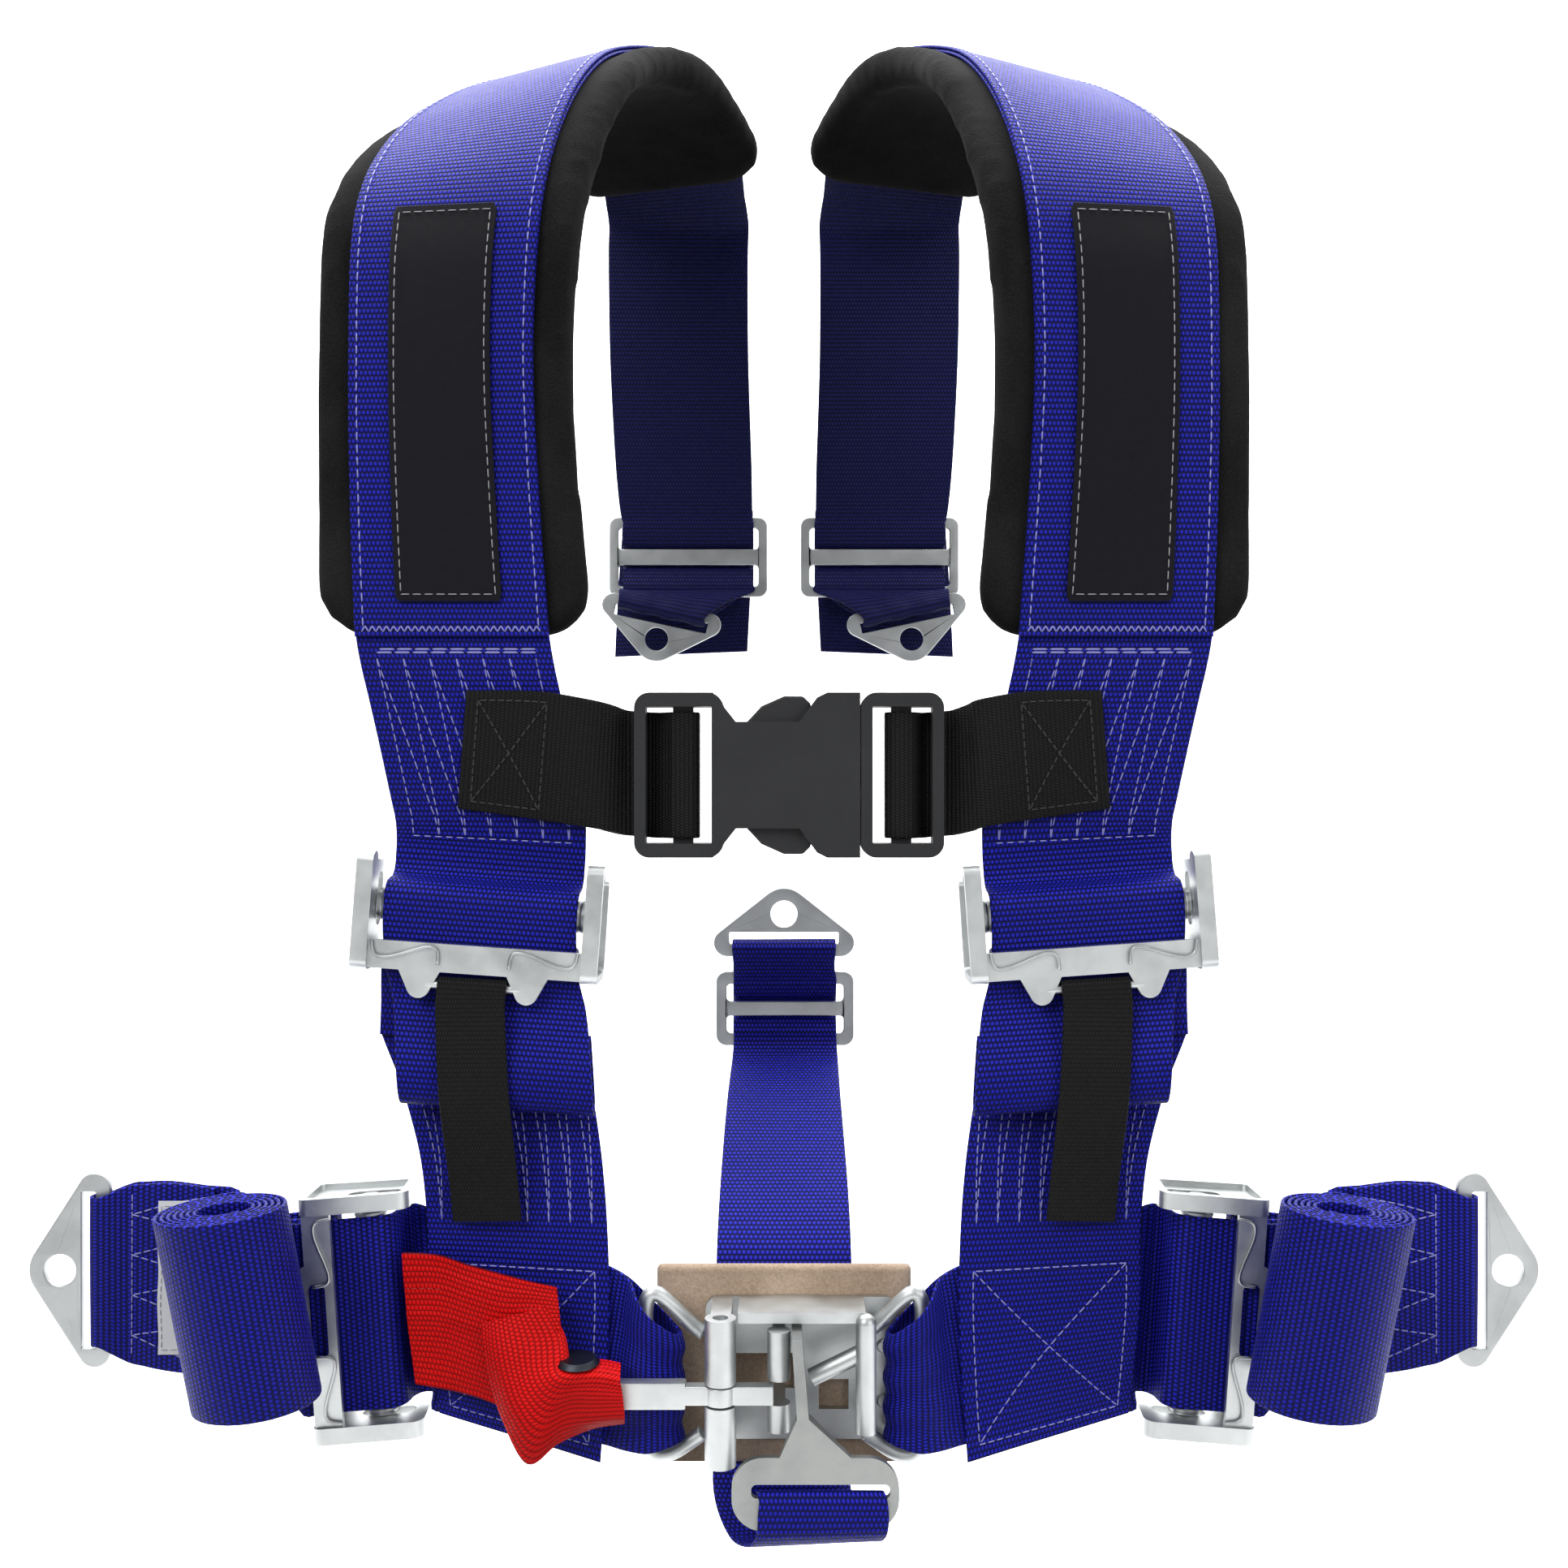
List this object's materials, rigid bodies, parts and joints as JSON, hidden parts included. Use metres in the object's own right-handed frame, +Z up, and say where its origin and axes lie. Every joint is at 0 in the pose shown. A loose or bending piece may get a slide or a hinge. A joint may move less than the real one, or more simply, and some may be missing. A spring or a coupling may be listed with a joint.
{
  "type": "racing harness",
  "caption": "Racing harness with padded shoulder straps, a chest clip, a lap belt with lever latch, webbing adjusters, a crotch strap and bolt-in anchor plates.",
  "frame": {"origin": "centre of the chest clip, on the wearer's breastbone", "axes": "+Z up the worn harness, -Y forward out of the wearer's chest, +X to the wearer's left, along the chest strap"},
  "size_m": [0.613, 0.3591, 0.6371],
  "materials": {
    "pad_velour": "short-pile velour over foam",
    "blue_webbing": "woven polyester webbing",
    "black_webbing": "woven black webbing",
    "plated_steel": "zinc-plated pressed steel",
    "zinc_steel": "bright zinc-plated steel",
    "steel_bar": "turned and knurled steel",
    "tag_cloth": "bare white cloth tag",
    "clip_plastic": "fine-textured dark grey moulding",
    "pad_leather": "suede side of split leather",
    "red_webbing": "red webbing, sewn double",
    "dark_rivet": "blackened steel"
  },
  "bodies": {
    "root": {"left_pad_foam": "pad_velour", "left_pad_cover": "blue_webbing", "left_pad_patch": "black_webbing", "left_shoulder_strap": "blue_webbing", "left_rear_slide": "plated_steel", "left_chest_webbing": "black_webbing", "left_lower_strap": "blue_webbing", "left_lap_strap": "blue_webbing", "left_lap_end_strap": "blue_webbing", "right_pad_foam": "pad_velour", "right_pad_cover": "blue_webbing", "right_pad_patch": "black_webbing", "right_shoulder_strap": "blue_webbing", "right_rear_slide": "plated_steel", "right_chest_webbing": "black_webbing", "right_lower_strap": "blue_webbing", "right_lap_strap": "blue_webbing", "right_lap_end_strap": "blue_webbing", "date_tag": "tag_cloth", "chest_socket": "clip_plastic", "chest_plug": "clip_plastic", "latch_body": "zinc_steel", "lever_pin": "steel_bar", "left_link": "zinc_steel", "right_link": "zinc_steel", "link_rivets": "steel_bar", "sub_hook": "plated_steel", "buckle_pad": "pad_leather", "sub_strap": "blue_webbing", "sub_slide": "plated_steel"},
    "left_shoulder_adjuster_body": {"left_shoulder_adjuster": "zinc_steel", "left_shoulder_spring": "steel_bar"},
    "left_shoulder_bar_body": {"left_shoulder_bar": "steel_bar"},
    "left_pull_tab_body": {"left_pull_tab": "black_webbing"},
    "left_lap_adjuster_body": {"left_lap_adjuster": "zinc_steel", "left_lap_spring": "steel_bar"},
    "left_lap_bar_body": {"left_lap_bar": "steel_bar"},
    "left_rear_anchor_body": {"left_rear_anchor": "plated_steel"},
    "left_lap_anchor_body": {"left_lap_anchor": "plated_steel"},
    "right_shoulder_adjuster_body": {"right_shoulder_adjuster": "zinc_steel", "right_shoulder_spring": "steel_bar"},
    "right_shoulder_bar_body": {"right_shoulder_bar": "steel_bar"},
    "right_pull_tab_body": {"right_pull_tab": "black_webbing"},
    "right_lap_adjuster_body": {"right_lap_adjuster": "zinc_steel", "right_lap_spring": "steel_bar"},
    "right_lap_bar_body": {"right_lap_bar": "steel_bar"},
    "right_rear_anchor_body": {"right_rear_anchor": "plated_steel"},
    "right_lap_anchor_body": {"right_lap_anchor": "plated_steel"},
    "sub_anchor_body": {"sub_anchor": "plated_steel"},
    "prong_upper_body": {"chest_prong_upper": "clip_plastic"},
    "prong_lower_body": {"chest_prong_lower": "clip_plastic"},
    "lever_body": {"latch_lever": "zinc_steel", "red_tab": "red_webbing", "tab_rivet": "dark_rivet"}
  },
  "joints": [
    {"name": "left_shoulder_tilt", "type": "hinge", "parent": "root", "child": "left_shoulder_adjuster_body", "pos_m": [-0.119, -0.002, -0.0535], "axis": [-0.9976, 0, 0.0698], "range_deg": [0, 12]},
    {"name": "left_shoulder_bar_slide", "type": "slide", "parent": "left_shoulder_adjuster_body", "child": "left_shoulder_bar_body", "axis": [0.0698, 0, 0.9976], "range_m": [0, 0.0025], "stiffness_N_per_m": 600},
    {"name": "left_pull_tab_hinge", "type": "hinge", "parent": "left_shoulder_adjuster_body", "child": "left_pull_tab_body", "pos_m": [-0.12102, -0.014, -0.08243], "axis": [-0.9976, 0, 0.0698], "range_deg": [0, 70]},
    {"name": "left_lap_tilt", "type": "hinge", "parent": "root", "child": "left_lap_adjuster_body", "pos_m": [-0.162, 0.002, -0.212], "axis": [-0.0698, 0, 0.9976], "range_deg": [0, 12]},
    {"name": "left_lap_bar_slide", "type": "slide", "parent": "left_lap_adjuster_body", "child": "left_lap_bar_body", "axis": [0.9976, 0, 0.0698], "range_m": [0, 0.0025], "stiffness_N_per_m": 600},
    {"name": "left_rear_anchor_swing", "type": "hinge", "parent": "root", "child": "left_rear_anchor_body", "pos_m": [-0.068, 0.265, 0.095], "axis": [0.9781, 0, -0.2079], "range_deg": [-30, 30]},
    {"name": "left_lap_anchor_swing", "type": "hinge", "parent": "root", "child": "left_lap_anchor_body", "pos_m": [-0.2765, 0.015, -0.201], "axis": [0, 0, -1], "range_deg": [-30, 30]},
    {"name": "right_shoulder_tilt", "type": "hinge", "parent": "root", "child": "right_shoulder_adjuster_body", "pos_m": [0.119, -0.002, -0.0535], "axis": [-0.9976, 0, -0.0698], "range_deg": [0, 12]},
    {"name": "right_shoulder_bar_slide", "type": "slide", "parent": "right_shoulder_adjuster_body", "child": "right_shoulder_bar_body", "axis": [-0.0698, 0, 0.9976], "range_m": [0, 0.0025], "stiffness_N_per_m": 600},
    {"name": "right_pull_tab_hinge", "type": "hinge", "parent": "right_shoulder_adjuster_body", "child": "right_pull_tab_body", "pos_m": [0.12102, -0.014, -0.08243], "axis": [-0.9976, 0, -0.0698], "range_deg": [0, 70]},
    {"name": "right_lap_tilt", "type": "hinge", "parent": "root", "child": "right_lap_adjuster_body", "pos_m": [0.162, 0.002, -0.212], "axis": [-0.0698, 0, -0.9976], "range_deg": [0, 12]},
    {"name": "right_lap_bar_slide", "type": "slide", "parent": "right_lap_adjuster_body", "child": "right_lap_bar_body", "axis": [-0.9976, 0, 0.0698], "range_m": [0, 0.0025], "stiffness_N_per_m": 600},
    {"name": "right_rear_anchor_swing", "type": "hinge", "parent": "root", "child": "right_rear_anchor_body", "pos_m": [0.068, 0.265, 0.095], "axis": [0.9781, 0, 0.2079], "range_deg": [-30, 30]},
    {"name": "right_lap_anchor_swing", "type": "hinge", "parent": "root", "child": "right_lap_anchor_body", "pos_m": [0.2765, 0.015, -0.201], "axis": [0, 0, 1], "range_deg": [-30, 30]},
    {"name": "sub_anchor_swing", "type": "hinge", "parent": "root", "child": "sub_anchor_body", "pos_m": [0, 0.141, -0.084], "axis": [-1, 0, 0], "range_deg": [-30, 30]},
    {"name": "prong_upper_squeeze", "type": "hinge", "parent": "root", "child": "prong_upper_body", "pos_m": [0.026, 0, 0.013], "axis": [0, -1, 0], "range_deg": [0, 6], "stiffness_Nm_per_rad": 0.3},
    {"name": "prong_lower_squeeze", "type": "hinge", "parent": "root", "child": "prong_lower_body", "pos_m": [0.026, 0, -0.013], "axis": [0, 1, 0], "range_deg": [0, 6], "stiffness_Nm_per_rad": 0.3},
    {"name": "latch_lever_hinge", "type": "hinge", "parent": "root", "child": "lever_body", "pos_m": [-0.0246, -0.017, -0.2395], "axis": [0, 0, 1], "range_deg": [0, 75]}
  ]
}
